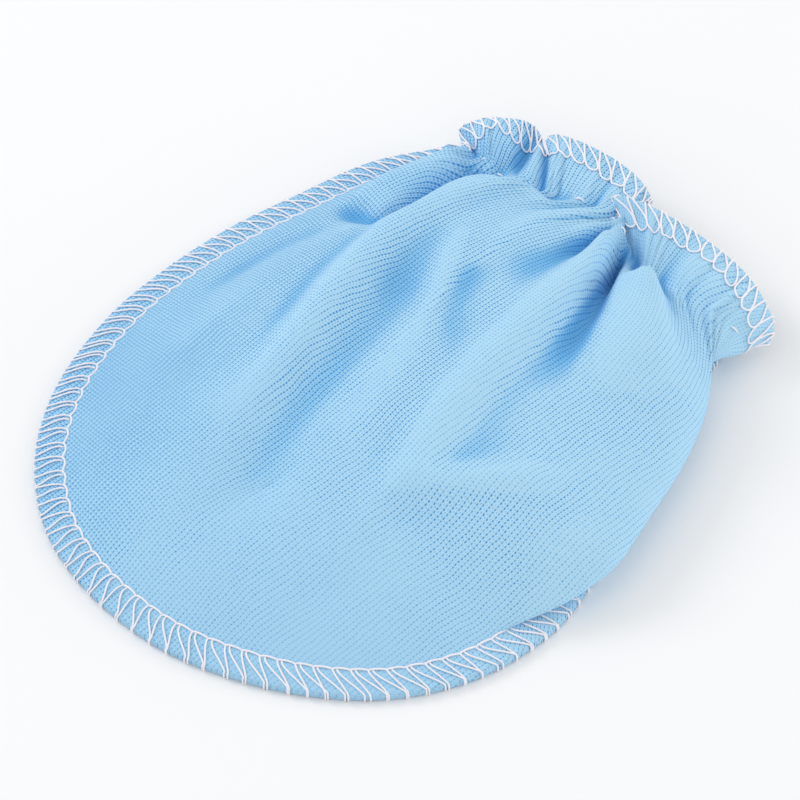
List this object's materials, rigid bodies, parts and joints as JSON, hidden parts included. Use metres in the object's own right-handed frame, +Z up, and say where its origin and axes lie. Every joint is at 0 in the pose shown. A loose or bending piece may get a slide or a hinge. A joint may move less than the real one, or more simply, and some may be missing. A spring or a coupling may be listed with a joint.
{
  "type": "baby mitten",
  "caption": "Thumbless newborn scratch mitten of thin light blue jersey, two panels overlocked round the edge, with an elastic wrist and a ruffled cuff, lying flat and puffed up.",
  "frame": {"origin": "on the table under the middle of the mitten's bounding box", "axes": "+Y from the fingertips to the cuff, +X across the hand, +Z up from the table"},
  "size_m": [0.0864, 0.1058, 0.0151],
  "materials": {
    "jersey": "matte single jersey knit",
    "jersey_under": "matte single jersey knit",
    "elastic": "matte woven elastic"
  },
  "bodies": {
    "root": {"upper_panel": "jersey", "lower_panel": "jersey_under", "wrist_elastic": "elastic"}
  },
  "joints": []
}
